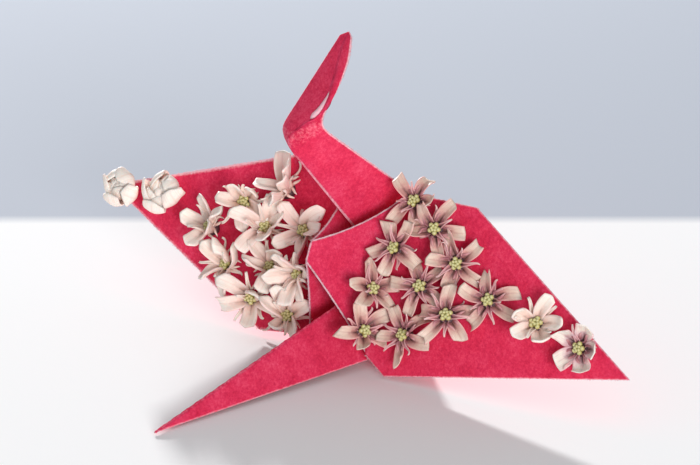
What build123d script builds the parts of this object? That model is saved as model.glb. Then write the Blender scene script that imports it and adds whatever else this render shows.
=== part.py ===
"""Crane folded from one square of paper, tipped back on its tail, with blossoms glued to its wings."""
from build123d import *
from math import cos, radians, sin, sqrt, tan
import os

os.makedirs("parts", exist_ok=True)

# The square of heavy paper, mm
sheet_side = 150.0
layer = 0.3

# Where the folds lie, measured along the flat bird base from its leg tips
leg_length = sheet_side / 2
apex_height = sheet_side * sqrt(0.5)
hump_face = 19.366
wing_fold_height = apex_height - hump_face
near_neck_edge_angle = 11.3
near_tail_edge_angle = 13.0
far_edge_angle = 12.3
tip_half_angle = 22.5

# How far the folds are opened, degrees
hump_half_angle = 29.0
near_droop_angle = 14.0
far_droop_angle = -13.0
near_sweep_angle = -9.8
far_sweep_angle = 3.4
neck_lean_angle = 27.8
tail_lean_angle = 38.4
head_lean_angle = 108.0
neck_opening_half_angle = 14.0
bend_opening_half_angle = 53.0
tail_opening_half_angle = 36.0

# Body, neck and tail, mm and degrees
apex_neck = 1.4
apex_tail = 3.2
crotch_depth = 27.2
neck_edge_angle = 13.4
tail_edge_angle = 14.0
head_bend = 46.0
head_bulge = 1.3
head_slit_start = 6.0
head_slit_end = 14.0
head_slit_width = 1.3
belly_gap_share = 0.22
flap_reach_share = 0.33
fold_radius = 0.36
fold_sides = 6

# How it lies, on its tail and near wing: turn of the line from tail tip to wing corner
heading_angle = 27.3

# One blossom, mm and degrees: the petal outline gives reach and half width
petal_count = 5
petal_trough_angle = 12.0
petal_thickness = 0.4
petal_outline = [(1.3, 0.7), (2.4, 1.15), (4.6, 1.5), (6.2, 1.2)]
strand_root = 1.2
strand_tip = 3.9
strand_width = 0.6
strand_rise_angle = 14.0
stem_radius = 1.2
stem_height = 0.9
cup_radius = 2.0
cup_height = 1.2
crown_radius = 1.4
crown_waist = 0.8
crown_height = 1.3

# Blossoms: x along the body, distance out from the wing fold, spin, extra stem, petal rise
near_blossoms = [
    (15.5, 3.4, 6, 0.2, 10),
    (10.7, 10.4, 0, 1.2, 10),
    (4.4, 2.8, 54, 2.2, 10),
    (4.6, 17.2, 42, 0.2, 10),
    (-2.6, 9.8, 48, 0.2, 10),
    (-13.4, 9.4, 54, 0.2, 10),
    (-7.3, 18.2, 36, 1.2, 10),
    (-1.7, 26.9, 42, 0.2, 10),
    (-4.3, 39.1, 18, 0.2, 28),
    (-6.6, 50.6, 6, 0.2, 10),
]
hump_blossoms = [
    (-5.6, 3.6, 12, 0.2, 28),
    (-15.0, 3.6, 42, 1.2, 28),
]
far_blossoms = [
    (3.4, 57.4, 18, 0.2, 54),
    (4.2, 46.0, 12, 0.2, 54),
    (11.5, 13.5, 18, 0.2, 28),
    (-0.8, 31.0, 0, 0.2, 28),
    (7.2, 24.5, 18, 0.2, 28),
    (1.8, 17.2, 54, 0.2, 28),
    (3.6, 6.5, 42, 0.2, 28),
    (-8.4, 24.4, 48, 0.2, 28),
    (-6.6, 12.8, 36, 0.2, 28),
    (-5.6, 3.4, 0, 2.2, 28),
    (-14.2, 15.4, 36, 1.2, 28),
    (-16.2, 5.2, 0, 0.2, 28),
]

hinge_out = hump_face * sin(radians(hump_half_angle))
hinge_drop = hump_face * cos(radians(hump_half_angle))
wing_length = sheet_side - wing_fold_height
crotch = Vector(0, 0, -crotch_depth)
neck_side, tail_side = 1, -1
near, far = -1, 1


def narrowed(side, end):
    """Slope of the narrowed edge of a wing, towards the neck or the tail."""
    if side == far:
        return tan(radians(far_edge_angle))
    return tan(radians(near_neck_edge_angle if end == neck_side else near_tail_edge_angle))


def on_wing(side, along, out, height=0.0):
    """Point on a wing: along the body, out from its fold and above its underside."""
    droop = radians(near_droop_angle if side == near else far_droop_angle)
    reach = hinge_out + out * cos(droop) + height * sin(droop)
    rise = -hinge_drop - out * sin(droop) + height * cos(droop)
    return Vector(along, side * reach, rise)


def swept(side, across, out):
    """Wing point given square to its own centre line, which is swept along the body."""
    sweep = radians(near_sweep_angle if side == near else far_sweep_angle)
    along = across * cos(sweep) + out * sin(sweep)
    return along, out * cos(sweep) - across * sin(sweep)


def wing_corner(side, end):
    """Widest corner of a wing, towards the neck or the tail."""
    slope, tip_slope = narrowed(side, end), tan(radians(tip_half_angle))
    height = sheet_side * tip_slope / (slope + tip_slope)
    return on_wing(side, *swept(side, end * slope * height, height - wing_fold_height))


def wing_tip(side):
    return on_wing(side, *swept(side, 0, wing_length))


def wing_root(side, end):
    """End of a wing's fold, towards the neck or the tail."""
    return on_wing(side, end * wing_fold_height * narrowed(side, end), 0)


def hump_apex(end):
    return Vector(apex_neck if end == neck_side else -apex_tail, 0, 0)


def leg_axes(end):
    """Directions of a leg's folded spine and of its open side, square to the spine."""
    lean = radians(neck_lean_angle if end == neck_side else tail_lean_angle)
    spine = Vector(end * sin(lean), 0, cos(lean))
    return spine, Vector(end * cos(lean), 0, -sin(lean))


def on_leg(end, side, along, width):
    """Point on one wall of a leg: along its spine from the crotch and out from the spine."""
    spine, out = leg_axes(end)
    opening = radians(neck_opening_half_angle if end == neck_side else tail_opening_half_angle)
    wall = out * cos(opening) + Vector(0, side * sin(opening), 0)
    return crotch + spine * along + wall * width


def leg_root(end, side):
    """Lowest corner of a leg, where its reverse fold meets the narrowed edge."""
    lean = neck_lean_angle if end == neck_side else tail_lean_angle
    slope = tan(radians(neck_edge_angle if end == neck_side else tail_edge_angle))
    left = leg_length / (1 + tan(radians(lean / 2)) * slope)
    return on_leg(end, side, leg_length - left, left * slope)


tail_tip = on_leg(tail_side, near, leg_length, 0)
near_rest = wing_corner(near, tail_side)
root_rest = leg_root(tail_side, far)
table_up = (near_rest - tail_tip).cross(root_rest - tail_tip)
table_right = (near_rest - tail_tip).rotate(Axis((0, 0, 0), table_up), -heading_angle)
table = Plane(origin=tail_tip, x_dir=table_right, z_dir=table_up)


def placed(point):
    """Point of the crane as it lies on the table."""
    return table.to_local_coords(point)


def panel(corners, low, high):
    """Flat paper panel between two heights above the plane of its corners."""
    spots = [placed(corner) for corner in corners]
    first = spots[1] - spots[0]
    flat = Plane(origin=spots[0], x_dir=first, z_dir=first.cross(spots[2] - spots[0]))
    outline = [flat.to_local_coords(spot) for spot in spots]
    with BuildSketch(flat.offset(low)) as shape:
        with BuildLine():
            Polyline(*[(spot.X, spot.Y) for spot in outline], close=True)
        make_face()
    extrude(shape.sketch, amount=high - low)


def fold(start, end, radius=fold_radius):
    """Rounded fold between two points."""
    run = placed(end) - placed(start)
    with BuildSketch(Plane(origin=placed(start), z_dir=run)) as shape:
        RegularPolygon(radius, fold_sides)
    extrude(shape.sketch, amount=run.length)


def middle(first, second, share):
    return first + (second - first) * share


def wing_base(side, along, out):
    """Plane on a wing's upper face."""
    top = 4 * layer
    origin = placed(on_wing(side, along, out, top))
    outward = placed(on_wing(side, along, out + 1, top)) - origin
    upward = placed(on_wing(side, along, out, top + 1)) - origin
    return Plane(origin=origin, x_dir=outward, z_dir=upward)


def hump_base(along, up):
    """Plane on the near face of the hump, its height measured up from the wing fold."""
    tilt = radians(hump_half_angle)
    raised = hump_face - up
    normal = Vector(0, -cos(tilt), sin(tilt))
    spot = Vector(along, -raised * sin(tilt), -raised * cos(tilt)) + normal * layer / 2
    origin = placed(spot)
    upward = placed(spot + normal) - origin
    return Plane(origin=origin, x_dir=placed(spot + Vector(1, 0, 0)) - origin, z_dir=upward)


head_axis = Vector(sin(radians(head_lean_angle)), 0, cos(radians(head_lean_angle)))
head_start = on_leg(neck_side, near, head_bend, 0)
head_length = leg_length - head_bend
head_tip = head_start + head_axis * head_length


def head_corner(side):
    """Corner of the neck wall at the bend, where the walls splay apart."""
    out = leg_axes(neck_side)[1]
    splay = radians(bend_opening_half_angle)
    wall = out * cos(splay) + Vector(0, side * sin(splay), 0)
    return head_start + wall * head_length * tan(radians(neck_edge_angle))


def head_cheek(side):
    """Fullest point of the head's open edge, halfway to its tip."""
    corner = head_corner(side)
    half = middle(corner, head_tip, 0.5)
    return half + (half - middle(head_start, head_tip, 0.5)).normalized() * head_bulge


with BuildPart() as folded_sheet:
    for side in (near, far):
        root_n, root_t = wing_root(side, neck_side), wing_root(side, tail_side)
        corner_n, corner_t = wing_corner(side, neck_side), wing_corner(side, tail_side)
        outline = [root_n, root_t, corner_t, wing_tip(side), corner_n]
        if side == far:
            outline.reverse()
        panel(outline, 2 * layer, 4 * layer)
        raised_n = on_wing(side, root_n.X, 0, 2 * layer)
        raised_t = on_wing(side, root_t.X, 0, 2 * layer)
        fold(raised_n, raised_t, 2.1 * layer)
        for end, root, corner in ((neck_side, root_n, corner_n), (tail_side, root_t, corner_t)):
            flap = [root, corner, middle(root, wing_root(side, -end), flap_reach_share)]
            if side * end == near:
                flap.reverse()
            panel(flap, 0, 2 * layer)
        panel([hump_apex(neck_side), hump_apex(tail_side), root_t, root_n], -layer / 2, layer / 2)
        belly_n, belly_t = middle(crotch, root_n, belly_gap_share), middle(crotch, root_t, belly_gap_share)
        panel([root_n, root_t, belly_t], -layer, layer)
        panel([root_n, belly_t, belly_n], -layer, layer)
        for end, root in ((neck_side, root_n), (tail_side, root_t)):
            panel([hump_apex(end), root, crotch], -layer / 2, layer / 2)
            panel([root, leg_root(end, side), crotch], -layer, layer)
            fold(hump_apex(end), root)
            fold(crotch, leg_root(end, side))
            fold(root, leg_root(end, side))
    fold(hump_apex(neck_side), hump_apex(tail_side))
    for end in (neck_side, tail_side):
        fold(hump_apex(end), crotch)
    for side in (near, far):
        panel([crotch, leg_root(tail_side, side), tail_tip], -layer, layer)
        panel([crotch, leg_root(neck_side, side), head_corner(side)], -layer, layer)
        panel([crotch, head_corner(side), head_start], -layer, layer)
        panel([head_start, head_corner(side), head_cheek(side), head_tip], -layer, layer)
        fold(crotch, head_corner(side), 1.1 * layer)
        fold(head_start, head_corner(side), 1.1 * layer)
    fold(crotch, tail_tip)
    fold(crotch, head_start)
    fold(head_start, head_tip)
    slit_centre = placed(head_start + head_axis * (head_slit_start + head_slit_end) / 2)
    slit_along = placed(head_tip) - placed(head_start)
    slit_across = placed(head_corner(near)) - placed(head_corner(far))
    with BuildSketch(Plane(origin=slit_centre, x_dir=slit_along, z_dir=slit_along.cross(slit_across))):
        with BuildLine():
            half_slit = (head_slit_end - head_slit_start) / 2
            Polyline((-half_slit, 0), (-half_slit / 2, head_slit_width / 2), (half_slit, 0),
                     (-half_slit / 2, -head_slit_width / 2), close=True)
        make_face()
    extrude(amount=head_length / 4, both=True, mode=Mode.SUBTRACT)
folded_sheet.part.label = "folded_sheet"


def five_star(outer, waist):
    """Corners of a five-lobed outline."""
    corners = []
    for step in range(2 * petal_count):
        reach = outer if step % 2 == 0 else waist
        turn = radians(180 * step / petal_count)
        corners.append((reach * cos(turn), reach * sin(turn)))
    return corners


def blossom(extra_stem, rise):
    """One five-petalled blossom on a short stem, standing at the origin."""
    height = stem_height + extra_stem
    root = Plane.XY.offset(height + (cup_height - petal_thickness) / 4)
    lift = radians(rise)
    along, above = Vector(cos(lift), 0, sin(lift)), Vector(-sin(lift), 0, cos(lift))
    hinge = root.origin + Vector(petal_outline[0][0], 0, 0) - along * petal_outline[0][0]
    with BuildPart() as petal:
        for half in (-1, 1):
            tilt = radians(petal_trough_angle) * half
            facing = above * cos(tilt) - Vector(0, sin(tilt), 0)
            with BuildSketch(Plane(origin=hinge, x_dir=along, z_dir=facing)):
                with BuildLine():
                    outer = [(reach, half * width) for reach, width in petal_outline]
                    Polyline((petal_outline[0][0], 0), *outer, (petal_outline[-1][0], 0), close=True)
                make_face()
            extrude(amount=petal_thickness)
    with BuildPart() as strand:
        slope = radians(strand_rise_angle)
        spot = Vector(strand_root, 0, height + cup_height - 1.5 * petal_thickness)
        with BuildSketch(Plane(origin=spot, x_dir=(cos(slope), 0, sin(slope)),
                               z_dir=(-sin(slope), 0, cos(slope)))):
            with BuildLine():
                Polyline((0, -strand_width / 2), (strand_tip - strand_root, 0),
                         (0, strand_width / 2), close=True)
            make_face()
        extrude(amount=petal_thickness)
    with BuildPart() as flower:
        with BuildSketch():
            RegularPolygon(stem_radius, petal_count)
        extrude(amount=height)
        with BuildSketch(Plane.XY.offset(height)):
            RegularPolygon(cup_radius, petal_count, rotation=180 / petal_count)
        extrude(amount=cup_height)
        with BuildSketch(Plane.XY.offset(height + cup_height)):
            with BuildLine():
                Polyline(*five_star(crown_radius, crown_waist), close=True)
            make_face()
        extrude(amount=crown_height)
        with PolarLocations(0, petal_count):
            add(petal.part)
        with PolarLocations(0, petal_count, start_angle=180 / petal_count):
            add(strand.part)
    return flower.part


def seated(form, seat, spin):
    """Copy of a blossom standing on a plane and turned about its stem."""
    turned = seat.x_dir * cos(radians(spin)) + seat.y_dir * sin(radians(spin))
    return form.moved(Location(Plane(origin=seat.origin, x_dir=turned, z_dir=seat.z_dir)))


forms = {}
pieces = [folded_sheet.part]
for group, layout in (("near_wing", near_blossoms), ("hump", hump_blossoms), ("far_wing", far_blossoms)):
    for number, (along, out, spin, extra_stem, rise) in enumerate(layout, 1):
        if (extra_stem, rise) not in forms:
            forms[extra_stem, rise] = blossom(extra_stem, rise)
        if group == "hump":
            seat = hump_base(along, out)
        else:
            seat = wing_base(near if group == "near_wing" else far, along, out)
        pieces.append(seated(forms[extra_stem, rise], seat, spin))
        pieces[-1].label = f"{group}_blossom_{number:02d}"

boxes = [piece.bounding_box() for piece in pieces]
middle_x = (min(box.min.X for box in boxes) + max(box.max.X for box in boxes)) / 2
middle_y = (min(box.min.Y for box in boxes) + max(box.max.Y for box in boxes)) / 2
lowest = min(box.min.Z for box in boxes)
centred = Location((-middle_x, -middle_y, -lowest))
for piece in pieces:
    resting = piece.moved(centred)
    resting.label = piece.label
    export_step(resting, f"parts/{piece.label}.step")
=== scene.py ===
"""Looks of the folded crane: worn crimson paper with small glued blossoms, lying on a pale table."""
from math import radians

import bmesh
import bpy
import numpy as np
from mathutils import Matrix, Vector


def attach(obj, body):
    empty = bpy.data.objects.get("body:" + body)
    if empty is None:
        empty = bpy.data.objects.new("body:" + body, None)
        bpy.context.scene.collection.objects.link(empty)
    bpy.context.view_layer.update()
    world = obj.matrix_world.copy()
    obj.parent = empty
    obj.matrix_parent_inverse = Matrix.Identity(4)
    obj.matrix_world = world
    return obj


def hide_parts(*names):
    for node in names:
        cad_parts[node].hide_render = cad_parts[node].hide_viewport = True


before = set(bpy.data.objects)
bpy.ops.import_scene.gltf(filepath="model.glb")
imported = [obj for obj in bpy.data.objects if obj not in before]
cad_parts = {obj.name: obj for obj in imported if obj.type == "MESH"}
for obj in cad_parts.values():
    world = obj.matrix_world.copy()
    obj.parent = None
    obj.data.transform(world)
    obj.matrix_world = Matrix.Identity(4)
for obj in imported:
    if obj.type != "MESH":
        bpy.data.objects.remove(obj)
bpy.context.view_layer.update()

MM = 0.001
NEAR, FAR, NECK, TAIL = -1, 1, 1, -1
SIDES, ENDS = (NEAR, FAR), (NECK, TAIL)
rng = np.random.default_rng(7)

# The square of paper and its folds, mm and degrees, as in the solid model
sheet_side, layer = 150.0, 0.3
leg_length, hump_face = sheet_side / 2, 19.366
wing_fold_height = sheet_side * np.sqrt(0.5) - hump_face
narrowing = {(NEAR, NECK): 11.3, (NEAR, TAIL): 13.0, (FAR, NECK): 12.3, (FAR, TAIL): 12.3}
tip_half_angle, hump_half_angle = 22.5, 29.0
droop, sweep = {NEAR: 14.0, FAR: -13.0}, {NEAR: -9.8, FAR: 3.4}
lean = {NECK: 27.8, TAIL: 38.4}
leg_narrowing = {NECK: 13.4, TAIL: 14.0}
leg_opening = {NECK: 14.0, TAIL: 36.0}
head_lean, head_bend, bend_opening = 108.0, 46.0, 53.0
apex_along = {NECK: 1.4, TAIL: -3.2}
crotch = np.array([0.0, 0.0, -27.2])
belly_gap, flap_reach, flap_end = 0.22, 0.33, 0.02
heading = 27.3
tail_spot = np.array([-43.643, -43.451, 0.307])

# How hand folding bends the paper: bows and bulges in mm, waves as radians per mm along x, y, z and a start
hump_sag = {NECK: np.array([-0.8, 0.0, -1.6]), TAIL: np.array([0.25, 0.0, -0.3])}
hump_bulge, neck_bulge = 0.35, 0.25
panel_uneven, wing_uneven, calm_rim = 0.06, 0.12, 3.0
panel_waves = ((0.31, 0.17, 0.0, 1.1), (0.0, 0.23, -0.29, 0.4), (0.19, 0.0, 0.41, 0.0))

# The head, in mm, shares and powers: pulls on corners, tip and bend, the swell of its edge, its bow and slit
corner_along, corner_across = {NEAR: 0.6, FAR: -2.4}, {NEAR: -1.0, FAR: -0.5}
tip_back, tip_across = 2.4, {NEAR: 1.5, FAR: -2.1}
bend_back, bend_across, spine_short = 0.7, 2.2, 1.2
edge_swell, swell_power = {NEAR: 1.9, FAR: 0.0}, 1.3
spine_bow, bow_full, bow_fall = 5.0, 0.3, 0.35
slit_start, slit_length, slit_half_width, least_slit = 4.6, 11.0, 1.0, 0.02
slit_opening, slit_power = 0.22, 0.8
core_depth, core_share = 0.75, 1.1

# Wear, nought for dyed paper and about 1.6 for its bare core, with widths in mm or shares of the neck. The
# neck's open edges carry partly wear and partly a painted highlight of the backlit rim, and the tube in the
# head's slit is coloured pale as a painted highlight
wing_wear, wing_fade = {NEAR: (0.9, 0.9, 0.2, 1), FAR: (0.9, 1.6, 0.2, 1)}, {NEAR: 0.35, FAR: 0.75}
neck_edge_wear_and_rim_highlight, head_end_wear = {NEAR: 1.3, FAR: 1.6}, 1.2
spine_places, spine_wear = (0, 0.5, 0.62, 1), (1, 0.8, 0.05, 0.05)
bend_scuff, scuff_width = 0.5, 0.06
panel_fade, fibre_wear, slit_core_highlight = 0.35, 1.6, 1.7

# Beads along folds, whose waves are a share, radians in a run and a start, and loose fibres, mm and per mm
fold_bead, hump_bead, leg_bead, wing_bead, spine_bead, spine_taper = 0.19, 0.16, 0.3, 0.55, 0.3, 40
bead_waves, bead_wave_run = ((0.16, 37, 0), (0.12, 91, 1)), 20
fibre_reach, rubbed_reach, spine_reach = 0.36, 0.42, 0.3
fibre_thickness, least_fibre, fibre_floor = 0.09, 0.3, 0.05
wing_fibres, rubbed_fibres, spine_fibres, neck_fibres = 9.0, 22.0, 6.0, {NEAR: 12.0, FAR: 20.0}
fibre_stop = 0.95

# Grids: steps in from a rim, spacings and least sizes in mm, shares, counts, and merged lengths in metres
rim_steps, rim_share = np.array([0, 0.06, 0.14, 0.24, 0.4, 0.7, 1.1]), 0.3
panel_spacing, wing_spacing, neck_spacing, bead_spacing = 1.6, 1.5, 1.0, 0.5
widest_share, bow_points, neck_rows, petal_rows, spike_rows, lip_rows = 0.3, 9, 61, 17, 18, 15
point_radius, least_radius, least_span, no_width, no_cross, tiny = 1e-5, 1e-4, 1.0, 1e-6, 1e-9, 1e-12
merge_distance, least_edge = 2e-6, 1e-7

# One blossom, in mm, degrees, shares and powers; an outline for the lathe is shares of a radius and a height
stem_radius, stem_height = 1.1, 0.9
cup_radius, cup_height, crown_radius, crown_height = 2.0, 1.2, 1.0, 1.3
stem_outline = ((0.0, 0.0), (1.0, 0.0), (0.8, 0.3), (0.9, 0.75))
cup_outline = ((0.9, 0.0), (1.0, 0.4), (0.92, 0.75), (0.75, 0.95), (0.0, 0.8))
crown_outline = ((0.0, 0.0), (1.0, 0.0), (1.08, 0.5), (0.95, 0.85), (0.5, 1.02), (0.0, 0.98))
crown_seat, crown_lobes, petals_each = 0.9, 0.12, 5
petal_level, spike_level, bud_level, bud_radii = 0.45, 0.15, 2.2, (1.7, 1.7, 2.0)
petal_root, spike_root, spike_thick = 1.2, 1.1, 0.14
petal_places = (0, 0.1, 0.25, 0.45, 0.65, 0.85, 1)
petal_half_widths = (0.7, 0.95, 1.22, 1.42, 1.52, 1.52, 1.42)
petal_columns = np.array([-1, -0.93, -0.8, -0.6, -0.4, -0.2, 0, 0.2, 0.4, 0.6, 0.8, 0.93, 1.0])
spike_columns = np.array([-1, -0.8, -0.4, 0, 0.4, 0.8, 1.0])
edge_rate, root_rate, end_rate, full_body = 2, 4, 3, 0.3
straight_share, trough_opening, trough_run, trough_power = 0.2, 0.62, 0.6, 1.5
end_share, end_slant, point_level, point_power = 0.5, 0.5, 0.45, 1.3
edge_wave, wave_along, wave_across = 0.26, 5, 2.3
spike_share, spike_rise, spike_power = 0.82, 10, 1.4
spike_depth, spike_flat, spike_twist = 1.3, 0.5, 0.5
spike_arch, arch_wave, hook_wave = 26, 4.2, 2.7
lip_start, lip_length, lip_aside, lip_foot, lip_radius, lip_power = 1.3, 2.7, 0.42, 0.3, 0.32, 0.8
lip_height, lip_growth, lip_arc, lip_swelling = 0.7, 0.4, (0.2, 0.72), (0.08, 0.9)
aside_ripple, up_ripple = (0.1, 8), (0.14, 9)
inner_shrink, inner_rise = 0.2, 22

# Beads of the crown: distance out in mm, share of the crown's height and radius in mm, and how they stray
outer_bead, inner_bead = (0.98, 0.55, 0.55), (0.5, 0.84, 0.4)
bead_turn, bead_shift, bead_squash = 0.08, 0.06, 0.95

# How far one petal or spike strays from the habit: sizes of normal draws in mm, degrees and shares
stray = dict(reach=0.25, rise=6, curl=15, sway=6, twist=15, flare=0.07, skew=0.8, point=0.45,
             spike_reach=0.5, spike_rise=8, hook=1.5)

# How a blossom's straps grow: mm, degrees, and shares of the outline's width and of the solid's petal rise
open_habit = dict(reach=6.8, rise_share=1.3, curl=-14, trough=0.74, flare=1.06, point=0.1, thick=0.15,
                  loose=1.7, spike=(0.74, 0.16), lean=10, closed=False)
fleshy_habit = dict(reach=8.2, rise_share=1.75, curl=0, trough=0.85, flare=1.2, point=0.6, thick=0.3,
                    loose=2.2, spike=(0.7, 0.3), lean=18, closed=False)
closed_habit = dict(reach=9.0, rise_share=0.35, curl=142, trough=0.55, flare=2.0, point=0.8, thick=0.24,
                    loose=1.0, spike=(0, 0), lean=4, closed=True)
cupped_habit = dict(open_habit, reach=6.7, rise_share=1.6, curl=44, flare=1.3, loose=0.8, lean=3)
half_shut_habit = dict(fleshy_habit, reach=7.2, rise_share=1.2, curl=34, flare=1.15, loose=1.6, lean=14)
half_shut_rise, closed_rise = 20, 40

# Blossoms, mm and degrees: x along the body, distance from the wing fold, spin, extra stem, petal rise
near_blossoms = [(15.5, 3.4, 6, 0.2, 10), (10.7, 10.4, 0, 1.2, 10), (4.4, 2.8, 54, 2.2, 10),
                 (4.6, 17.2, 42, 0.2, 10), (-2.6, 9.8, 48, 0.2, 10), (-13.4, 9.4, 54, 0.2, 10),
                 (-7.3, 18.2, 36, 1.2, 10), (-1.7, 26.9, 42, 0.2, 10), (-4.3, 39.1, 18, 0.2, 28),
                 (-6.6, 50.6, 6, 0.2, 10)]
hump_blossoms = [(-5.6, 3.6, 12, 0.2, 28), (-15.0, 3.6, 42, 1.2, 28)]
far_blossoms = [(3.4, 57.4, 18, 0.2, 54), (4.2, 46.0, 12, 0.2, 54), (11.5, 13.5, 18, 0.2, 28),
                (-0.8, 31.0, 0, 0.2, 28), (7.2, 24.5, 18, 0.2, 28), (1.8, 17.2, 54, 0.2, 28),
                (3.6, 6.5, 42, 0.2, 28), (-8.4, 24.4, 48, 0.2, 28), (-6.6, 12.8, 36, 0.2, 28),
                (-5.6, 3.4, 0, 2.2, 28), (-14.2, 15.4, 36, 1.2, 28), (-16.2, 5.2, 0, 0.2, 28)]

# The table in metres, and the camera in metres and degrees
table_half, table_points, table_drop = 3.0, 61, 0.0001
card_back, card_turn = (0.080, 0.086), 3.05
camera_place, camera_dip, camera_turn, camera_angle = (-0.02769, -0.51922, 0.22680), 20.92, -card_turn, 16.0


def unit(v):
    """Vector over its own length."""
    return v / np.linalg.norm(v)


def units(vectors):
    """Each vector of a list over its own length."""
    return vectors / np.linalg.norm(vectors, axis=1, keepdims=True)


def on_wing(side, along, out, height=0.0):
    """Point on a wing: along the body, out from its fold and above its underside."""
    tilt = radians(droop[side])
    reach = hinge_out + out * np.cos(tilt) + height * np.sin(tilt)
    return np.array([along, side * reach, -hinge_drop - out * np.sin(tilt) + height * np.cos(tilt)])


def swept(side, across, out):
    """Wing point given square to its own centre line, which is swept along the body."""
    turn = radians(sweep[side])
    return across * np.cos(turn) + out * np.sin(turn), out * np.cos(turn) - across * np.sin(turn)


def wing_corner(side, end):
    """Widest corner of a wing: where the narrowed edge meets the edge from the tip."""
    slope, tip_slope = np.tan(radians(narrowing[side, end])), np.tan(radians(tip_half_angle))
    height = sheet_side * tip_slope / (slope + tip_slope)
    return on_wing(side, *swept(side, end * slope * height, height - wing_fold_height))


def wing_root(side, end):
    """End of a wing's fold."""
    return on_wing(side, end * wing_fold_height * np.tan(radians(narrowing[side, end])), 0)


def on_leg(end, side, along, width, opening=None):
    """Point on one wall of a leg: along its spine from the crotch and out from the spine."""
    tilt, half = radians(lean[end]), radians(leg_opening[end] if opening is None else opening)
    spine = np.array([end * np.sin(tilt), 0, np.cos(tilt)])
    out = np.array([end * np.cos(tilt), 0, -np.sin(tilt)])
    return crotch + spine * along + (out * np.cos(half) + np.array([0, side * np.sin(half), 0])) * width


def leg_root(end, side):
    """Lowest corner of a leg, where its reverse fold meets the narrowed edge."""
    slope = np.tan(radians(leg_narrowing[end]))
    left = leg_length / (1 + np.tan(radians(lean[end] / 2)) * slope)
    return on_leg(end, side, leg_length - left, left * slope)


# Places that follow from the fold
hinge_out = hump_face * np.sin(radians(hump_half_angle))
hinge_drop = hump_face * np.cos(radians(hump_half_angle))
apex = {end: np.array([apex_along[end], 0.0, 0.0]) for end in ENDS}
tail_tip = on_leg(TAIL, NEAR, leg_length, 0)
head_start = on_leg(NECK, NEAR, head_bend, 0)
head_length = leg_length - head_bend
head_axis = np.array([np.sin(radians(head_lean)), 0, np.cos(radians(head_lean))])
head_tip = head_start + head_axis * head_length
head_width = head_length * np.tan(radians(leg_narrowing[NECK]))
head_corner = {side: on_leg(NECK, side, head_bend, head_width, bend_opening) for side in SIDES}

# The table's axes seen from the crane: it lies on tail tip, near wing corner and far tail root
table_up = unit(np.cross(wing_corner(NEAR, TAIL) - tail_tip, leg_root(TAIL, FAR) - tail_tip))
rest_run = unit(wing_corner(NEAR, TAIL) - tail_tip)
rest_turn = radians(-heading)
table_right = rest_run * np.cos(rest_turn) + np.cross(table_up, rest_run) * np.sin(rest_turn)
table_axes = np.array([table_right, np.cross(table_up, table_right), table_up])


def placed(points):
    """Crane points in mm to row points in mm: turned on to the table's axes and set at the tail's place."""
    return (points - tail_tip) @ table_axes.T + tail_spot


def ease(x):
    """Smooth step: three x squared less two x cubed, held between nought and one."""
    x = np.clip(x, 0, 1)
    return x * x * (3 - 2 * x)


def rows(length, spacing, breaks=()):
    """Parameter values from nought to one: close together by both ends, then about evenly spaced."""
    rim = rim_steps / length
    rim = rim[rim < rim_share]
    count = max(int(length / spacing), 2)
    inner = np.linspace(rim[-1], 1 - rim[-1], count + 1)[1:-1]
    return np.unique(np.concatenate([rim, inner, 1 - rim, np.array(breaks, float)]))


def along_line(points, values, breaks):
    """Points at the given shares along a line of corners that lie at the shares in breaks."""
    points = np.array(points, float)
    return np.stack([np.interp(values, breaks, points[:, k]) for k in range(3)], axis=1)


def line_length(points):
    """Sum of the distances between a line's corners."""
    return np.linalg.norm(np.diff(points, axis=0), axis=1).sum()


def wear_along(wear, values):
    """Wear at the given shares along a line, from one number or from numbers evenly spaced on it."""
    return np.interp(values, np.linspace(0, 1, np.size(wear)), np.atleast_1d(wear))


def add_object(name, data):
    """New object at the origin, linked to the scene."""
    made = bpy.data.objects.new(name, data)
    bpy.context.scene.collection.objects.link(made)
    return made


class Sheet:
    """Gathers grids of one piece: points, faces, the marks of each point and the material of each face."""

    def __init__(self):
        """Starts empty."""
        self.points, self.faces, self.marks, self.slots, self.count = [], [], [], [], 0

    def add(self, points, faces, marks, slot=0):
        """Takes up one grid, its faces counted on from the points held so far."""
        self.points.append(points.reshape(-1, 3))
        self.faces.append(faces + self.count)
        self.marks.append(marks.reshape(len(self.points[-1]), -1))
        self.slots.append(np.full(len(faces), slot))
        self.count += len(self.points[-1])

    def build(self, name, materials, mark_names):
        """One mesh object in metres: doubles merged, normals turned outwards, marks kept as attributes."""
        points = np.concatenate(self.points) * MM
        faces, marks = np.concatenate(self.faces), np.concatenate(self.marks)
        mesh = bpy.data.meshes.new(name)
        mesh.from_pydata(points, [], faces)
        mesh.polygons.foreach_set("material_index", np.concatenate(self.slots).astype(np.int32))
        mesh.polygons.foreach_set("use_smooth", np.ones(len(faces), bool))
        for k, mark in enumerate(mark_names):
            attribute = mesh.attributes.new(mark, "FLOAT", "POINT")
            attribute.data.foreach_set("value", marks[:, k].astype(np.float32))
        work = bmesh.new()
        work.from_mesh(mesh)
        bmesh.ops.remove_doubles(work, verts=work.verts, dist=merge_distance)
        bmesh.ops.dissolve_degenerate(work, edges=work.edges, dist=least_edge)
        bmesh.ops.recalc_face_normals(work, faces=work.faces)
        work.to_mesh(mesh)
        work.free()
        for material in materials:
            mesh.materials.append(material)
        return add_object(name, mesh)


def grid_faces(across, along, closed=False):
    """Four-cornered faces of a grid; a closed grid joins its last column to its first."""
    index = np.arange(across * along).reshape(across, along)
    if closed:
        index = np.concatenate([index, index[:1]])
    corners = [index[:-1, :-1], index[1:, :-1], index[1:, 1:], index[:-1, 1:]]
    return np.stack(corners, axis=-1).reshape(-1, 4)


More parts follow.
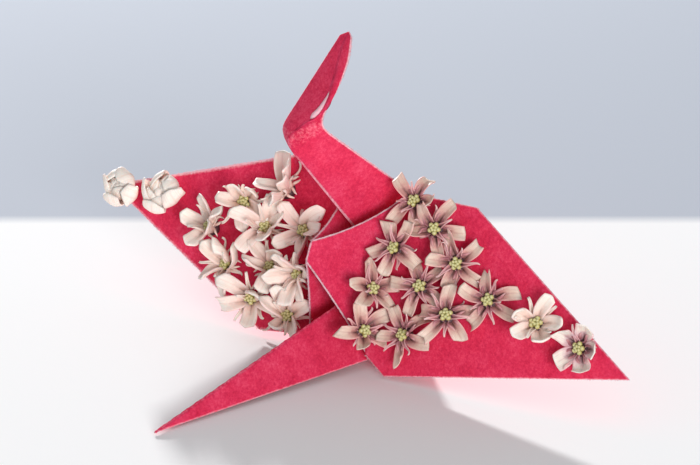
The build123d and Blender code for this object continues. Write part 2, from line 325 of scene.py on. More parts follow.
def normals(grid):
    """Unit normal of each grid point: cross product of the differences along and across, and the grid's
    middling normal where that is nought."""
    du, dv = np.gradient(grid, axis=0), np.gradient(grid, axis=1)
    n = np.cross(du, dv)
    size = np.linalg.norm(n, axis=-1, keepdims=True)
    flat = np.median(n[1:-1, 1:-1].reshape(-1, 3), axis=0)
    return np.where(size > no_cross, n / np.maximum(size, tiny), unit(flat))


def wrinkle(grid, height):
    """Slight unevenness of hand-folded paper: the mean of three slow waves over the place, times a height."""
    x, y, z = np.moveaxis(grid, -1, 0)
    waves = sum(np.sin(a * x + b * y + c * z + start) for a, b, c, start in panel_waves)
    return height * waves / len(panel_waves)


def slab(sheet, first, second, low, high, worn=(1, 1, 1, 1), bulge=0.0, spacing=panel_spacing,
         uneven=panel_uneven, breaks=(0.0, 1.0), fade=panel_fade, scuff=0.0):
    """Paper panel ruled between two edge lines. The middle surface runs straight across from line to line;
    two skins lie at low and high along its normal, whose sense follows the order of the lines, and close on
    each other at the rim on a quarter round. Wear_and_highlight holds the pale mark on the first line, on the
    second, where both start and where both end: wear, and on the neck's open edges partly a painted highlight
    of the backlit rim; it falls off as a bell over the fade width. Scuff is wear right across."""
    first, second = np.array(first, float), np.array(second, float)
    run = max(line_length(first), line_length(second))
    span = max(np.linalg.norm(first - second, axis=1).max(), least_span)
    v, u = rows(run, spacing, breaks[1:-1]), rows(span, spacing)
    a, b = along_line(first, v, breaks), along_line(second, v, breaks)
    mid = a[None] + (b - a)[None] * u[:, None, None]
    wide = np.linalg.norm(b - a, axis=1)[None]
    far_u, far_v = np.minimum(u, 1 - u)[:, None] * wide, np.minimum(v, 1 - v)[None] * run
    if wide[0, -1] < no_width:
        far_v = np.broadcast_to(v[None] * run, far_u.shape)
    if wide[0, 0] < no_width:
        far_v = np.broadcast_to((1 - v)[None] * run, far_u.shape)
    from_rim = np.minimum(far_u, far_v)
    half = (high - low) / 2
    thick = half * np.sqrt(1 - (1 - np.clip(from_rim / half, 0, 1)) ** 2)
    n = normals(mid)
    centre = (low + high) / 2 + bulge * np.sin(np.pi * u)[:, None] * np.sin(np.pi * v)[None]
    centre = centre + wrinkle(mid, uneven) * ease(from_rim / calm_rim)
    first_wear, second_wear, rubbed = (wear_along(wear, v) for wear in (*worn[:2], scuff))
    everywhere = np.ones_like(far_u)
    rim = np.stack([first_wear * np.exp(-(u[:, None] * wide / fade) ** 2),
                    second_wear * np.exp(-((1 - u)[:, None] * wide / fade) ** 2),
                    worn[2] * np.exp(-(v[None] * run / fade) ** 2) * everywhere,
                    worn[3] * np.exp(-((1 - v)[None] * run / fade) ** 2) * everywhere,
                    rubbed[None] * everywhere]).max(axis=0)
    faces = grid_faces(len(u), len(v))
    top = placed((mid + n * (centre + thick)[..., None]).reshape(-1, 3))
    bottom = placed((mid + n * (centre - thick)[..., None]).reshape(-1, 3))
    sheet.add(top, faces, rim)
    sheet.add(bottom, faces[:, ::-1], rim)


def tube(path, radius, sides=8):
    """Round profile carried along a path: at each point a ring in the plane square to the path, and at both
    ends a point."""
    path, radius = np.array(path, float), np.array(np.broadcast_to(radius, len(path)))
    radius[[0, -1]] = point_radius
    along = units(np.gradient(path, axis=0))
    slanting = np.array([0.31, 0.53, 0.79])
    side = units(np.cross(along, slanting))
    up = np.cross(along, side)
    angle = np.linspace(0, 2 * np.pi, sides, endpoint=False)
    ring = np.cos(angle)[:, None, None] * side[None] + np.sin(angle)[:, None, None] * up[None]
    return path[None] + ring * radius[None, :, None], grid_faces(sides, len(path), closed=True)


def add_tube(sheet, path, radius, wear):
    """Adds a tube along a path on the crane, with one wear or one for each point of the path."""
    points, faces = tube(path, radius)
    sheet.add(placed(points.reshape(-1, 3)), faces, np.broadcast_to(wear, points.shape[:2]))


def bowed(start, end, bow, count=bow_points):
    """Points of a line bowed sideways by a parabola."""
    start, end, s = np.array(start), np.array(end), np.linspace(0, 1, count)
    return start + (end - start) * s[:, None] + bow * (4 * s * (1 - s))[:, None]


def crease(sheet, start, end, radius=fold_bead, bow=np.zeros(3), wear=1.0):
    """Rubbed fold: a thin round bead along a bowed line. Two sines make its radius waver, and it tapers to
    its ends as the root of the distance."""
    run = np.linalg.norm(np.array(end) - np.array(start))
    s = np.linspace(0, 1, max(int(run / bead_spacing), 6))
    waves = (size * np.sin(turns * s * run / bead_wave_run + begin) for size, turns, begin in bead_waves)
    taper = np.sqrt(np.clip(np.minimum(s, 1 - s) * run / bead_spacing, 0.0, 1))
    wavering = radius * sum(waves, 1) * np.maximum(taper, least_radius)
    add_tube(sheet, bowed(start, end, bow, len(s)), wavering, wear)


def fuzz(sheet, path, per_mm, reach=fibre_reach):
    """Loose fibres: thin three-sided spikes of random lean and length, set at random along a line of points
    and kept above the table."""
    path = np.array(path, float)
    gone = np.concatenate([[0], np.cumsum(np.linalg.norm(np.diff(path, axis=0), axis=1))])
    count = max(int(gone[-1] * per_mm), 2)
    foot = along_line(path, rng.random(count) * gone[-1], gone)
    aim = units(rng.normal(size=(count, 3)))
    far = aim * reach * (least_fibre + rng.random(count) ** 2)[:, None]
    side = units(np.cross(aim, rng.normal(size=(count, 3))))
    up = np.cross(aim, side)
    angle = np.arange(3) * 2 * np.pi / 3
    ring = np.cos(angle)[None, :, None] * side[:, None] + np.sin(angle)[None, :, None] * up[:, None]
    thick, share = np.array([0.0, fibre_thickness, 0.0]), np.array([0.0, 0.0, 1.0])
    line = foot[:, None] + far[:, None] * share[None, :, None]
    points = line[:, None] + ring[:, :, None] * thick[None, None, :, None]
    first_points = np.arange(count) * len(angle) * len(share)
    faces = grid_faces(len(angle), len(share), closed=True)[None] + first_points[:, None, None]
    laid = placed(points.reshape(-1, 3))
    laid[:, 2] = np.maximum(laid[:, 2], fibre_floor)
    sheet.add(laid, faces.reshape(-1, 4), np.full(len(laid), fibre_wear))


def softened(points, shares, count=neck_rows, window=9):
    """Line of corners sampled evenly and averaged over a short bell-shaped window, which rounds its bend."""
    line = along_line(points, np.linspace(0, 1, count), shares)
    pad = window // 2
    longer = np.concatenate([2 * line[0] - line[pad:0:-1], line, 2 * line[-1] - line[-2:-2 - pad:-1]])
    bell = np.hanning(window + 2)[1:-1]
    return np.stack([np.convolve(longer[:, k], bell / bell.sum(), "valid") for k in range(3)], axis=1)


def fold_crane():
    """The whole folded square: every panel a slab ruled between two folds, with rubbed folds between."""
    sheet = Sheet()
    for side in SIDES:
        root = {end: wing_root(side, end) for end in ENDS}
        fold_wing(sheet, side, root)
        fold_body(sheet, side, root)
        tail_lines = [crotch, tail_tip], [leg_root(TAIL, side), tail_tip]
        slab(sheet, *tail_lines, -layer, layer, worn=(0.5, 0.8, 0, 1))
        fold_neck(sheet, side)
    crease(sheet, apex[NECK], apex[TAIL])
    fuzz(sheet, [apex[NECK], apex[TAIL]], rubbed_fibres, rubbed_reach)
    for end in ENDS:
        crease(sheet, apex[end], crotch, wear=0.4)
    crease(sheet, crotch, tail_tip, leg_bead, wear=0.45)
    return sheet


def fold_wing(sheet, side, root):
    """One wing: a slab from its fold past the widest corners to the tip, fibres along both edges, and under
    it the two flaps folded in at its root, each a long triangle beside the edge."""
    corner = {end: wing_corner(side, end) for end in ENDS}
    tip = on_wing(side, *swept(side, 0, sheet_side - wing_fold_height))
    lines = [[root[end], corner[end], tip] for end in (TAIL, NECK)]
    if side == NEAR:
        lines.reverse()
    slab(sheet, *lines, 2 * layer, 4 * layer, worn=wing_wear[side], spacing=wing_spacing,
         uneven=wing_uneven, breaks=(0.0, widest_share, 1.0), fade=wing_fade[side])
    lifted = np.array([0, 0, 3 * layer])
    for end in ENDS:
        fuzz(sheet, np.array([root[end], corner[end], tip]) + lifted, wing_fibres)
        inner = root[end] + (root[-end] - root[end]) * flap_reach
        flap = [[root[end], corner[end]], [root[end], inner + (corner[end] - inner) * flap_end]]
        if side != end:
            flap.reverse()
        slab(sheet, *flap, 0.0, 2 * layer, worn=(1, 0.2, 0, 1))


def fold_body(sheet, side, root):
    """One side of the body: hump face and belly wall, and at each end a gusset from the hump's edge to the
    crotch and a wall from there to the leg's root, with rubbed folds between."""
    edge = {end: bowed(apex[end], root[end], hump_sag[end]) for end in ENDS}
    even = tuple(np.linspace(0, 1, bow_points))
    hump = [edge[TAIL], edge[NECK]] if side == NEAR else [edge[NECK], edge[TAIL]]
    slab(sheet, *hump, -layer / 2, layer / 2, worn=(0.9, 0.9, 0.9, 0.1), bulge=hump_bulge, breaks=even)
    belly = {end: crotch + (root[end] - crotch) * belly_gap for end in ENDS}
    slab(sheet, [root[NECK], belly[NECK]], [root[TAIL], belly[TAIL]], -layer, layer, worn=(0, 0, 0, 1))
    for end in ENDS:
        lowest = leg_root(end, side)
        straight = bowed(apex[end], crotch, np.zeros(3))
        slab(sheet, edge[end], straight, -layer / 2, layer / 2, worn=(1, 0.5, 0, 0), breaks=even)
        slab(sheet, [crotch, root[end]], [crotch, lowest], -layer, layer, worn=(0.3, 1, 0, 1))
        crease(sheet, apex[end], root[end], hump_bead, bow=hump_sag[end], wear=1.3)
        fuzz(sheet, edge[end], rubbed_fibres, rubbed_reach)
        crease(sheet, crotch, lowest, leg_bead, wear=0.5)
        crease(sheet, root[end], lowest, leg_bead, wear=0.5)
    lifted = np.array([0, 0, 2 * layer])
    crease(sheet, root[NECK] + lifted, root[TAIL] + lifted, wing_bead, wear=0.15)


def fold_neck(sheet, side):
    """One wall of neck and head in a single strip from the spine to the open edge. Both lines turn at the
    bend on a soft curve. On the head the spine bows to the near side and the walls part there in a slit,
    widest near its foot, with a tube behind it for the inner fold, coloured pale as a painted highlight of
    the sunlit fold seen through the slit; the strip ends beside a blunt tip."""
    bend = head_bend / leg_length
    across = unit(head_corner[NEAR] - head_corner[FAR])
    corner = head_corner[side] + (head_axis * corner_along[side] + across * corner_across[side])
    tip = head_tip - head_axis * tip_back + across * tip_across[side]
    swell = unit(head_corner[side] - head_start) * edge_swell[side]
    s = np.linspace(0, 1, bow_points)[:, None]
    head_edge = corner + (tip - corner) * s + swell * np.sin(np.pi * s ** swell_power)
    edge = softened([leg_root(NECK, side), *head_edge], [0, *np.linspace(bend, 1, bow_points)])
    spine_bend = head_start - head_axis * bend_back - across * bend_across
    spine = softened([crotch, spine_bend, head_tip - head_axis * spine_short], [0, bend, 1])
    v = np.linspace(0, 1, neck_rows)
    up = np.clip((v - bend) / (1 - bend), 0, 1)
    part = np.clip((up * head_length - slit_start) / slit_length, 0, 1)
    slit = slit_half_width * ease(part / slit_opening) * (1 - part) ** slit_power
    bow = spine_bow * ease(up / bow_full) * (1 - ease((up - bow_fall) / (1 - bow_fall)))
    middle = spine + across * bow[:, None]
    spine = middle + across * (-side * slit)[:, None]
    rubbed = np.interp(v, spine_places, spine_wear)
    scuff = bend_scuff * np.exp(-((v - bend) / scuff_width) ** 2)
    bead_radius = spine_bead * np.sqrt(np.clip((1 - v) * spine_taper, least_radius, 1))
    add_tube(sheet, spine, bead_radius, np.maximum(rubbed, scuff))
    # Tube behind the slit: the inner fold, coloured as pale bare core to paint the highlight of the sunlit
    # fold
    if side == NEAR:
        inside = unit(head_corner[NEAR] + head_corner[FAR] - 2 * head_start)
        gaping = slit > least_slit
        core_radius = np.maximum(slit[gaping] * core_share, least_radius)
        add_tube(sheet, middle[gaping] + inside * core_depth, core_radius, slit_core_highlight)
    # The open edge's pale line is partly wear and partly a painted highlight of the backlit rim
    lines, wear = [spine, edge], [rubbed, neck_edge_wear_and_rim_highlight[side]]
    if side == FAR:
        lines.reverse()
        wear.reverse()
    slab(sheet, *lines, -layer, layer, worn=(*wear, 0, head_end_wear), bulge=neck_bulge, spacing=neck_spacing,
         breaks=tuple(v), scuff=scuff)
    fuzz(sheet, edge, neck_fibres[side])
    if side == NEAR:
        fuzz(sheet, spine[v < fibre_stop * bend], spine_fibres, spine_reach)


def hexes(code):
    """Linear colour of an sRGB hex value."""
    c = np.array([int(code[k:k + 2], 16) for k in (1, 3, 5)]) / 255
    lin = np.where(c <= 0.04045, c / 12.92, ((c + 0.055) / 1.055) ** 2.4)
    return (*lin.tolist(), 1.0)


def node(tree, kind, settings=None, **links):
    """Adds a shader node; settings are its properties, input values or a colour ramp's stops, and links name
    the sockets that are fed, an underscore and a number where the name is shared."""
    made = tree.nodes.new("ShaderNode" + kind)
    for key, value in (settings or {}).items():
        if key == "stops":
            bar = made.color_ramp.elements
            for place, code in value:
                first, last = place == value[0][0], place == value[-1][0]
                element = bar[0] if first else bar[-1] if last else bar.new(place)
                element.position, element.color = place, hexes(code)
        elif isinstance(key, str) and hasattr(made, key):
            setattr(made, key, value)
        else:
            made.inputs[key].default_value = value
    for key, source in links.items():
        numbered = key[0] == "_" and key[1:].isdigit()
        tree.links.new(source, made.inputs[int(key[1:]) if numbered else key.replace("_", " ")])
    return made


def new_material(name, looks):
    """Node material whose Principled shader has the given values on its sockets, with its tree and shader."""
    material = bpy.data.materials.new(name)
    material.use_nodes = True
    shader = material.node_tree.nodes["Principled BSDF"]
    for socket, value in looks.items():
        shader.inputs[socket].default_value = value
    return material, material.node_tree, shader


def crimson_paper():
    """Heavy handmade paper dyed crimson: felted fibres give a soft mottled surface, and rubbed folds and raw
    edges show the pale core as a fuzzy line. The same pale colour paints highlight on the neck's backlit open
    edges and on the tube in the head's slit. A little light passes through it."""
    looks = {"Roughness": 0.9, "Specular IOR Level": 0.12, "Sheen Weight": 0.08, "Sheen Roughness": 0.5,
             "Sheen Tint": hexes("#F5B8C4"), "Subsurface Weight": 0.42, "Subsurface Radius": (1.0, 0.3, 0.34),
             "Subsurface Scale": 0.9 * MM}
    cloud_size, felt_size, relief = 5.0 * MM, 0.7 * MM, 0.14 * MM
    fibre_scales = tuple(1 / (size * MM) for size in (0.35, 2.4, 0.5))
    dye_stops = [(0.3, "#B9163B"), (0.5, "#DC3459"), (0.62, "#E64C6E"), (0.78, "#F2869E")]
    pale_core_and_highlight = hexes("#F7CBD4")
    material, tree, shader = new_material("crimson_handmade_paper", looks)
    place = node(tree, "TexCoord").outputs["Object"]
    worn = node(tree, "Attribute", {"attribute_name": "worn"}).outputs["Fac"]
    cloud = node(tree, "TexNoise", {"Scale": 1 / cloud_size, "Detail": 3.0, "Roughness": 0.6},
                 Vector=place).outputs["Fac"]
    felt = node(tree, "TexNoise", {"Scale": 1 / felt_size, "Detail": 4.0, "Roughness": 0.7},
                Vector=place).outputs["Fac"]
    stretch = node(tree, "Mapping", {"Scale": fibre_scales, "Rotation": (0.5, 0.2, 0.7)}, Vector=place)
    fibre = node(tree, "TexNoise", {"Scale": 1.0, "Detail": 3.0, "Distortion": 1.2},
                 Vector=stretch.outputs["Vector"]).outputs["Fac"]
    blend = node(tree, "Mix", {"data_type": "FLOAT", "Factor": 0.45}, _2=felt, _3=fibre).outputs[0]
    tone = node(tree, "Mix", {"data_type": "FLOAT", "Factor": 0.35}, _2=blend, _3=cloud).outputs[0]
    dye = node(tree, "ValToRGB", {"stops": dye_stops}, Fac=tone).outputs["Color"]
    # Pale mark of wear and painted highlight, frayed by the felt noise
    fray = node(tree, "Math", {"operation": "MULTIPLY_ADD", 2: -0.42}, _0=worn, _1=felt).outputs[0]
    rub = node(tree, "MapRange", {"From Min": -0.22, "From Max": 0.24, "To Max": 0.85}, Value=fray)
    colour = node(tree, "Mix", {"data_type": "RGBA", 7: pale_core_and_highlight}, _0=rub.outputs[0], _6=dye)
    tree.links.new(colour.outputs[2], shader.inputs["Base Color"])
    bump = node(tree, "Bump", {"Strength": 0.5, "Distance": relief}, Height=blend)
    tree.links.new(bump.outputs["Normal"], shader.inputs["Normal"])
    return material


def petal_skin(name, stops, rim, pocket, vein_tint, shade=0.85):
    """Waxy petal: colour runs from a tinted root to a pale end, with a dark pocket on its midline near the
    root as strong as the shade, partly the petal's own purple and partly painted shade in its trough, a
    tinted rim, faint veins along it and a fine uneven skin."""
    looks = {"Roughness": 0.55, "Subsurface Weight": 0.3, "Subsurface Radius": (1.0, 0.7, 0.6),
             "Subsurface Scale": 0.5 * MM}
    spot_size, relief = 0.9 * MM, 0.09 * MM
    material, tree, shader = new_material(name, looks)
    place = node(tree, "TexCoord").outputs["Object"]
    reach = node(tree, "Attribute", {"attribute_name": "reach"}).outputs["Fac"]
    across = node(tree, "Attribute", {"attribute_name": "across"}).outputs["Fac"]
    spot = node(tree, "TexNoise", {"Scale": 1 / spot_size, "Detail": 4.0, "Roughness": 0.65},
                Vector=place).outputs["Fac"]
    shift = node(tree, "Math", {"operation": "MULTIPLY_ADD", 1: 0.4, 2: -0.2}, _0=spot).outputs[0]
    grain = node(tree, "CombineXYZ", _0=across, _1=reach, _2=spot).outputs[0]
    lie = node(tree, "Mapping", {"Scale": (9.0, 1.2, 0.8)}, Vector=grain).outputs[0]
    vein = node(tree, "TexNoise", {"Scale": 1.6, "Detail": 2.0}, Vector=lie).outputs["Fac"]
    pull = node(tree, "Math", {"operation": "MULTIPLY_ADD", 1: 0.16}, _0=across, _2=shift).outputs[0]
    along = node(tree, "Math", {"operation": "ADD"}, _0=reach, _1=pull).outputs[0]
    colour = node(tree, "ValToRGB", {"stops": stops}, Fac=along).outputs["Color"]
    brim = node(tree, "MapRange", {"From Min": 0.74, "From Max": 0.98, "To Max": 0.75}, Value=across)
    # Dark pocket on the midline near the root: partly own colour, partly painted shade in the trough
    inward = node(tree, "MapRange", {"From Min": 0.62, "From Max": 0.3, "To Max": shade}, Value=along)
    narrow = node(tree, "MapRange", {"From Min": 0.42, "From Max": 0.06}, Value=across)
    deep = node(tree, "Math", {"operation": "MULTIPLY"}, _0=inward.outputs[0], _1=narrow.outputs[0])
    streak = node(tree, "MapRange", {"From Min": 0.45, "From Max": 0.72, "To Max": 0.5}, Value=vein)
    for tint, amount in ((rim, brim), (pocket, deep), (vein_tint, streak)):
        over = node(tree, "Mix", {"data_type": "RGBA", 7: hexes(tint)}, _0=amount.outputs[0], _6=colour)
        colour = over.outputs[2]
    tree.links.new(colour, shader.inputs["Base Color"])
    height = node(tree, "Math", {"operation": "ADD"}, _0=spot, _1=vein).outputs[0]
    bump = node(tree, "Bump", {"Strength": 0.45, "Distance": relief}, Height=height)
    tree.links.new(bump.outputs["Normal"], shader.inputs["Normal"])
    return material


def strap(path, half, deep, turn, cut, wave, columns, thick):
    """Closed pillow along a path. Across it lies a row of points from edge to edge: each is its share of the
    half width to the side, lifted by the trough's depth times that share to the power one and a half and by a
    wave, and moved along the path by the cut that shapes the end; the row turns about the path by the twist.
    The pillow thins to nothing at its edges and both its ends."""
    s, t = np.linspace(0, 1, len(path)), columns[:, None]
    along = units(np.gradient(path, axis=0))
    side = units(np.array([0.0, 1.0, 0.0]) - along[:, 1:2] * along)
    up = np.cross(along, side)
    side, up = (side * np.cos(turn)[:, None] + up * np.sin(turn)[:, None],
                up * np.cos(turn)[:, None] - side * np.sin(turn)[:, None])
    wide, lift = t * half, deep * half * np.abs(t) ** trough_power + wave
    mid = path + side * wide[..., None] + up * lift[..., None] + along * cut[..., None]
    closing = np.minimum((1 - np.abs(t)) * edge_rate, np.minimum(s * root_rate, (1 - s) * end_rate))
    body = thick * np.sqrt(np.clip(closing / full_body, 0, 1))
    n = normals(mid)
    marks = np.stack([np.broadcast_to(s, body.shape), np.broadcast_to(np.abs(t), body.shape)], axis=-1)
    faces = grid_faces(len(columns), len(path))
    return [(mid + n * body[..., None], faces, marks), (mid - n * body[..., None], faces[:, ::-1], marks)]


def arching(start, length, angle):
    """Path in the upright plane: steps of equal length, each climbing at its own angle."""
    step = np.full(len(angle), length / (len(angle) - 1))
    step[0] = 0
    out, up = start + np.cumsum(step * np.cos(angle)), np.cumsum(step * np.sin(angle))
    return np.stack([out, np.zeros(len(angle)), up], axis=-1)


def petal(length, rise, curl, sway, twist, trough, flare, skew, point, thick):
    """Strap petal: it leaves the cup at the rise angle and bends by the curl, widens to a square end that is
    cut slanting or to a point, and its trough opens out along it. Sines along and across wave its edges."""
    s, t = np.linspace(0, 1, petal_rows), petal_columns[:, None]
    bending = ease((s - straight_share) / (1 - straight_share))
    path = arching(petal_root, length - petal_root, np.radians(rise + curl * bending))
    path[:, 1] = np.radians(sway) * (length - petal_root) * s ** 2
    half = np.interp(s, petal_places, petal_half_widths) * flare
    deep = trough * (1 - trough_opening * ease((s - straight_share) / trough_run))
    wave = edge_wave * np.sin(wave_along * s + wave_across * t + twist) * s * np.abs(t) ** 2
    end_shape = end_slant * skew * t + point * (point_level - np.abs(t) ** point_power)
    cut = ease((s - end_share) / (1 - end_share)) * end_shape
    return strap(path, half, deep, np.radians(twist) * s, cut, wave, petal_columns, thick)


def spike(reach, rise, hook, base, tip):
    """Narrow strap between two petals: a folded channel that tapers from base to tip, arches up and hooks
    aside towards its end on a sine."""
    s = np.linspace(0, 1, spike_rows)
    climb = rise + spike_arch * np.sin(arch_wave * s + hook)
    path = arching(spike_root, reach - spike_root, np.radians(climb))
    path[:, 1] = hook * s ** 2 * np.sin(hook_wave * s)
    half = tip + (base - tip) * (1 - s) ** spike_power
    deep = spike_depth * (1 - spike_flat * s)
    flat = np.zeros((len(spike_columns), len(s)))
    return strap(path, half, deep, spike_twist * hook * s, flat, flat, spike_columns, spike_thick)


def hood(side, tall, wave):
    """Puckered lip beside a petal's pocket: a swelling profile carried along a short wavy path, which bulges
    aside and up on half sines."""
    s = np.linspace(0, 1, lip_rows)
    sway, nod = (size * np.sin(turns * s + wave) for size, turns in (aside_ripple, up_ripple))
    aside = lip_aside + lip_aside * np.sin(np.pi * s ** lip_power) + sway
    up = lip_foot + tall * np.sin(np.pi * (lip_arc[0] + lip_arc[1] * s)) + nod
    path = np.stack([lip_start + lip_length * s, side * aside, up], axis=-1)
    swelling = lip_radius * np.sin(np.pi * np.clip(s * lip_swelling[1] + lip_swelling[0], 0, 1)) ** lip_power
    points, faces = tube(path, swelling + least_radius)
    marks = np.stack([np.broadcast_to(s, points.shape[:2]), np.zeros(points.shape[:2])], axis=-1)
    return points, faces, marks


def bead(centre, radii, count=14, levels=9):
    """Ellipsoid: sines and cosines of longitude and latitude times three radii, marked from foot to top."""
    lon = np.linspace(0, 2 * np.pi, count, endpoint=False)[:, None]
    lat = np.linspace(-np.pi / 2, np.pi / 2, levels)[None]
    height = np.broadcast_to(np.sin(lat), (count, levels))
    points = np.stack([np.cos(lon) * np.cos(lat) * radii[0], np.sin(lon) * np.cos(lat) * radii[1],
                       height * radii[2]], axis=-1) + centre
    marks = np.stack([(height + 1) / 2, np.zeros((count, levels))], axis=-1)
    return points, grid_faces(count, levels, closed=True), marks


def turned(points, angle):
    """Points turned about the stem."""
    c, s = np.cos(angle), np.sin(angle)
    return points @ np.array([[c, s, 0], [-s, c, 0], [0, 0, 1]])


def lathe(profile, lobes=0.0, count=40):
    """Surface of revolution of a list of radius and height; lobes ripples its radius once for each petal."""
    profile = np.array(profile, float)
    angle = np.linspace(0, 2 * np.pi, count, endpoint=False)
    growing = ease(profile[:, 0] / profile[:, 0].max())[None]
    ripple = 1 + lobes * np.cos(petals_each * angle)[:, None] * growing
    points = np.stack([np.cos(angle)[:, None] * profile[None, :, 0] * ripple,
                       np.sin(angle)[:, None] * profile[None, :, 0] * ripple,
                       np.broadcast_to(profile[None, :, 1], ripple.shape)], axis=-1)
    return points, grid_faces(count, len(profile), closed=True), np.zeros((*points.shape[:2], 2))


def add_turned(flower, grids, angle, lift, slot):
    """Adds grids to a flower, turned about the stem and lifted."""
    for points, faces, marks in grids:
        flower.add(turned(points, angle) + [0, 0, lift], faces, marks, slot)


def scaled(outline, radius, foot, height):
    """Outline's shares times a radius and a height above its foot."""
    return [(share * radius, foot + level * height) for share, level in outline]


def strayed_petal(habit, rise, ring, jitter):
    """One petal as its habit says, its measures strayed by draws; an inner ring is smaller and steeper."""
    shrink, loose = 1 - inner_shrink * ring, habit["loose"]
    return petal(length=(habit["reach"] + stray["reach"] * jitter[1]) * shrink,
                 rise=rise * habit["rise_share"] + inner_rise * ring + stray["rise"] * loose * jitter[2],
                 curl=habit["curl"] + stray["curl"] * loose * jitter[0],
                 sway=stray["sway"] * loose * jitter[3],
                 twist=stray["twist"] * loose * jitter[4],
                 trough=habit["trough"],
                 flare=(habit["flare"] + stray["flare"] * jitter[5]) * shrink,
                 skew=stray["skew"] * jitter[6],
                 point=habit["point"] + stray["point"] * jitter[7],
                 thick=habit["thick"])


def blossom(extra_stem, rise, habit):
    """One blossom at the origin: stem and cup turned on a lathe, five strap petals with a lipped pocket at
    each root, five spikes between them and a lumpy crown. The habit says how its straps grow; a closed one
    has a second ring of petals inside and neither lips nor spikes."""
    flower = Sheet()
    petal_slot, strand_slot, crown_slot, cup_slot = 0, 1, 2, 3
    height = stem_height + extra_stem
    base, top = height + petal_level, height + crown_seat * cup_height
    stem = scaled(stem_outline, stem_radius, 0, height)
    flower.add(*lathe(stem + scaled(cup_outline, cup_radius, height, cup_height)), cup_slot)
    flower.add(*lathe(scaled(crown_outline, crown_radius, top, crown_height), crown_lobes), crown_slot)
    if habit["closed"]:
        flower.add(*bead(np.array([0, 0, base + bud_level]), bud_radii), petal_slot)
    for k in range(petals_each):
        angle, half_step = 2 * np.pi * k / petals_each, np.pi / petals_each
        jitter = rng.normal(size=9)
        beads = (bead_turn * jitter[0], 0.0, outer_bead), (half_step, bead_shift * jitter[1], inner_bead)
        for turn, shift, (out, level, size) in beads:
            spot = turned(np.array([out + shift, 0, top + level * crown_height]), angle + turn)
            flower.add(*bead(spot, (size, size, size * bead_squash)), crown_slot)
        for ring in range(2 if habit["closed"] else 1):
            skins = strayed_petal(habit, rise, ring, jitter)
            add_turned(flower, skins, angle + ring * half_step, base, petal_slot)
        if habit["closed"]:
            continue
        tall = lip_height + lip_growth * np.sin(np.radians(rise))
        lips = [hood(side, tall, jitter[7] + side) for side in (-1, 1)]
        add_turned(flower, lips, angle, base, strand_slot)
        reach = spike_share * habit["reach"] + stray["spike_reach"] * jitter[8]
        climb = rise + spike_rise + stray["spike_rise"] * habit["loose"] * jitter[3]
        skins = spike(reach, climb, stray["hook"] * jitter[4], *habit["spike"])
        add_turned(flower, skins, angle + half_step, base + spike_level, strand_slot)
    lean_to = rng.normal(size=2) * radians(habit["lean"])
    flower.points = [tipped(points, lean_to, height) for points in flower.points]
    return flower


def tipped(points, lean_to, height):
    """Flower head tipped on its stem: a small turn about the stem's top that grows from the seat up to it."""
    share = ease(points[:, 2] / height)[:, None]
    above = points - [0, 0, height]
    turn = np.array([lean_to[0], lean_to[1], 0.0])
    return points + share * np.cross(np.broadcast_to(turn, above.shape), above)


def seat(spot, outer, upper):
    """Seat at a spot on the crane: origin, and directions to a point outward of it, sideways and upward."""
    origin = placed(spot)
    outward, upward = unit(placed(outer) - origin), unit(placed(upper) - origin)
    return origin, outward, np.cross(upward, outward), upward


def wing_seat(side, along, out):
    """Seat of a blossom on a wing's upper face."""
    top = 4 * layer
    return seat(*(on_wing(side, along, *spot) for spot in ((out, top), (out + 1, top), (out, top + 1))))


def hump_seat(along, up):
    """Seat of a blossom on the near face of the hump."""
    tilt, raised = radians(hump_half_angle), hump_face - up
    normal = np.array([0, -np.cos(tilt), np.sin(tilt)])
    spot = np.array([along, -raised * np.sin(tilt), -raised * np.cos(tilt)]) + normal * layer / 2
    return seat(spot, spot + np.array([1.0, 0, 0]), spot + normal)


def habit_of(group, rise, outermost):
    """How a blossom grows, by its group, the rise of its petals and whether it is the outermost."""
    if rise > closed_rise:
        return closed_habit
    if group == "far_wing":
        return fleshy_habit
    if group == "near_wing" and rise > half_shut_rise:
        return half_shut_habit
    return cupped_habit if outermost else open_habit


# Materials: the paper, and waxy skins with colours from root to end, then of rim, pocket (partly painted
# shade) and veins
paper = crimson_paper()
# Near blossoms' petals: their own mauve root and cream end, darkened overall as painted shade over the near
# cluster
pink_petal = petal_skin("pink_petal", [
    (0.05, "#6E3A3A"), (0.25, "#A36664"), (0.48, "#CB938C"), (0.72, "#DDC0AF"), (0.97, "#E9D6C5")],
    "#EBAEAC", "#381412", "#BB8680")
blush_petal = petal_skin("blush_petal", [
    (0.05, "#6E3A42"), (0.25, "#AE7680"), (0.44, "#D8AEB2"), (0.66, "#EADFD4"), (0.97, "#F2ECE0")],
    "#E6B0B6", "#38161A", "#D2A8AA")
pink_strand = petal_skin("pink_strand", [
    (0.0, "#8A4A50"), (0.35, "#B8767A"), (0.7, "#DBA6A6"), (1.0, "#EFD0CA")],
    "#E6B4B6", "#7A3E4C", "#B07078", 0.5)
pale_petal = petal_skin("pale_petal", [
    (0.05, "#B98F84"), (0.25, "#EAC4BA"), (0.48, "#F5DDD2"), (0.72, "#FAEADF"), (0.97, "#FCF2E8")],
    "#F4D8D2", "#7A5A48", "#EACBBE", 0.5)
pale_strand = petal_skin("pale_strand", [
    (0.0, "#C9A096"), (0.35, "#E4C8BC"), (0.7, "#F1E2D6"), (1.0, "#F6ECE2")],
    "#EED2CA", "#C09488", "#DDBFB0", 0.4)
crown_skin = petal_skin("yellow_green_crown", [
    (0.1, "#8C8442"), (0.45, "#BAB064"), (0.75, "#CEC684"), (1.0, "#DED8A6")],
    "#CFCB80", "#8A8048", "#B5AC66", 0.2)
# Dark brown cup round the crown's foot: partly the blossom's own brown, partly painted shade in the cavity
# round the crown
cup_skin_and_shade = petal_skin("brown_cup_painted_shade", [
    (0.0, "#4E2A30"), (0.4, "#6E3F44"), (0.8, "#8C5A58"), (1.0, "#9A6A62")],
    "#7A4A48", "#4A2830", "#5E363C")

crane = fold_crane().build("crane_paper", [paper], ["worn"])
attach(crane, "root")
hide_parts("folded_sheet")

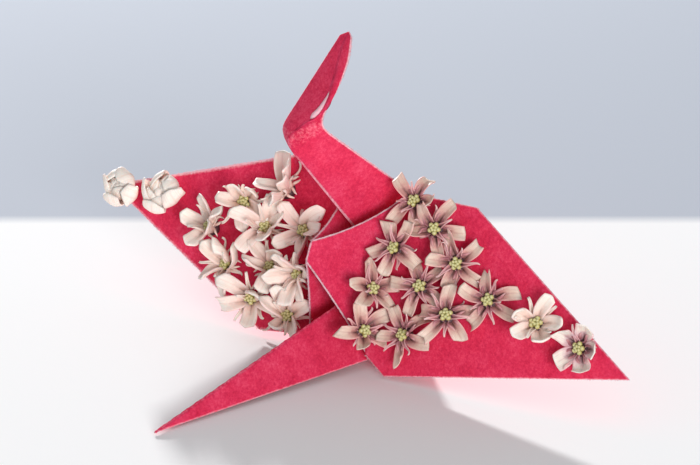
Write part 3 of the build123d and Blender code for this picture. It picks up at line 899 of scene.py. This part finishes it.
wing_side = {"near_wing": NEAR, "far_wing": FAR}
for group, layout in (("near_wing", near_blossoms), ("hump", hump_blossoms), ("far_wing", far_blossoms)):
    for number, (along, out, spin, extra_stem, rise) in enumerate(layout, 1):
        name = f"{group}_blossom_{number:02d}"
        glued = wing_seat(wing_side[group], along, out) if group in wing_side else hump_seat(along, out)
        origin, outward, sideways, upward = glued
        c, s = np.cos(radians(spin)), np.sin(radians(spin))
        axes = np.array([outward * c + sideways * s, sideways * c - outward * s, upward])
        outermost = group == "near_wing" and number == len(layout)
        habit = habit_of(group, rise, outermost)
        flower = blossom(extra_stem, rise, habit)
        flower.points = [points @ axes + origin for points in flower.points]
        pale = group == "far_wing" or habit is half_shut_habit
        skins = [pale_petal, pale_strand] if pale else [blush_petal if outermost else pink_petal, pink_strand]
        piece = flower.build(f"{name}_petals", [*skins, crown_skin, cup_skin_and_shade], ["reach", "across"])
        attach(piece, "root")
        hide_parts(name)


def pale_table():
    """Matt white card on a blue-grey studio floor: one plane, white up to the card's back edge."""
    steps = np.linspace(-table_half, table_half, table_points)
    x, y = np.meshgrid(steps, steps, indexing="ij")
    points = np.stack([x, y, np.full_like(x, -table_drop)], axis=-1).reshape(-1, 3)
    mesh = bpy.data.meshes.new("table")
    mesh.from_pydata(points, [], grid_faces(table_points, table_points))
    looks = {"Roughness": 0.9, "Specular IOR Level": 0.1}
    card, floor = hexes("#FDFDFD"), hexes("#BFC5D0")
    material, tree, shader = new_material("white_card_on_grey_floor", looks)
    place = node(tree, "TexCoord").outputs["Object"]
    aside = node(tree, "Mapping", {"Rotation": (0, 0, radians(card_turn))}, Vector=place)
    depth = node(tree, "SeparateXYZ", Vector=aside.outputs["Vector"]).outputs["Y"]
    back = node(tree, "MapRange", {"From Min": card_back[0], "From Max": card_back[1]}, Value=depth)
    colour = node(tree, "Mix", {"data_type": "RGBA", 6: card, 7: floor}, _0=back.outputs[0])
    tree.links.new(colour.outputs[2], shader.inputs["Base Color"])
    mesh.materials.append(material)
    return add_object("table", mesh)


pale_table()


def lamp(name, place, target, size, power):
    """Square soft light at a place, facing a target, in metres and watts."""
    data = bpy.data.lights.new(name, "AREA")
    data.shape, data.size, data.energy = "SQUARE", size, power
    made = add_object(name, data)
    made.location, made.visible_camera = place, False
    made.rotation_euler = (Vector(target) - Vector(place)).to_track_quat("-Z", "Y").to_euler()


lamp("back_light", place=(-0.40, 1.96, 0.60), target=(0, 0, 0.02), size=0.13, power=60.0)
lamp("front_fill", place=(0.30, -1.35, 0.24), target=(0, 0, 0.03), size=0.5, power=13.5)
world = bpy.data.worlds.new("soft_room")
bpy.context.scene.world = world
world.use_nodes = True
room_light = world.node_tree.nodes["Background"].inputs
room_light["Color"].default_value = hexes("#F4F6FA")
room_light["Strength"].default_value = 0.44

camera_data = bpy.data.cameras.new("camera")
camera_data.sensor_fit, camera_data.angle = "HORIZONTAL", radians(camera_angle)
camera = add_object("camera", camera_data)
camera.location = camera_place
camera.rotation_euler = (radians(90 - camera_dip), 0, radians(camera_turn))
bpy.context.scene.camera = camera
bpy.context.scene.view_settings.view_transform = "Standard"
